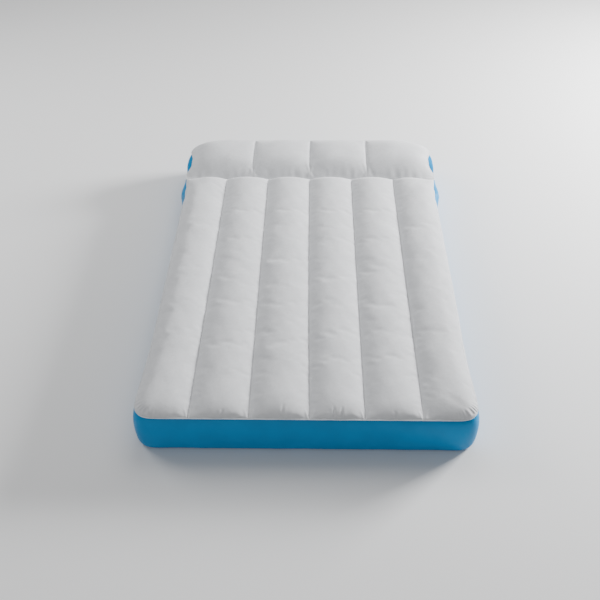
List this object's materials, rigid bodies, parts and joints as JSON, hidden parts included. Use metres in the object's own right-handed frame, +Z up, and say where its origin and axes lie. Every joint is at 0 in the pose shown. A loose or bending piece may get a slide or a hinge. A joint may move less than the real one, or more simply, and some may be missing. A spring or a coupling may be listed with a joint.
{
  "type": "air mattress",
  "caption": "Double camping air mattress with long flocked channels, a raised pillow across the head, a blue vinyl side wall and a screw-in air valve with a flip cap.",
  "frame": {"origin": "on the floor under the middle of the mattress's footprint", "axes": "+Z up, +Y towards the head and pillow, +X across the width"},
  "size_m": [1.2696, 1.9428, 0.24],
  "materials": {
    "flocked_top": "soft flocked nap, matt",
    "blue_vinyl": "soft vinyl, semi-gloss",
    "weld_edge": "pale welded vinyl edge",
    "inner_film": "thin milky film",
    "valve_plastic": "moulded, satin",
    "cap_plastic": "moulded, satin",
    "seal_rubber": "moulded, matt"
  },
  "bodies": {
    "mattress": {"bottom_sheet": "blue_vinyl", "bottom_seam": "blue_vinyl", "side_wall": "blue_vinyl", "top_seam": "weld_edge", "top_sheet": "flocked_top", "beam_1": "inner_film", "beam_2": "inner_film", "beam_3": "inner_film", "beam_4": "inner_film", "beam_5": "inner_film", "pillow_sheet": "flocked_top", "pillow_wall": "blue_vinyl", "pillow_seam": "weld_edge", "pillow_floor": "inner_film", "pillow_beam_1": "inner_film", "pillow_beam_2": "inner_film", "pillow_beam_3": "inner_film", "pillow_front_seam": "weld_edge", "valve_base": "valve_plastic"},
    "seal": {"valve_seal": "seal_rubber"},
    "collar": {"valve_collar": "valve_plastic", "flap_keeper": "valve_plastic"},
    "flap": {"valve_flap": "seal_rubber"},
    "cap": {"valve_cap": "cap_plastic"}
  },
  "joints": [
    {"name": "collar_lift", "type": "slide", "parent": "mattress", "child": "seal", "axis": [0, 1, 0], "range_m": [0, 0.006]},
    {"name": "collar_turn", "type": "hinge", "parent": "seal", "child": "collar", "pos_m": [0.4, 0.965, 0.0815], "axis": [0, 1, 0], "range_deg": [0, 360]},
    {"name": "flap_open", "type": "hinge", "parent": "collar", "child": "flap", "pos_m": [0.4, 0.9524, 0.1021], "axis": [-1, 0, 0], "range_deg": [0, 20], "stiffness_Nm_per_rad": 0.0005},
    {"name": "cap_flip", "type": "hinge", "parent": "collar", "child": "cap", "pos_m": [0.4, 0.9752, 0.1149], "axis": [1, 0, 0], "range_deg": [0, 130]}
  ],
  "couplings": [
    {"joint": "collar_lift", "follows": "collar_turn", "m_per_rad": 0.00095493}
  ]
}
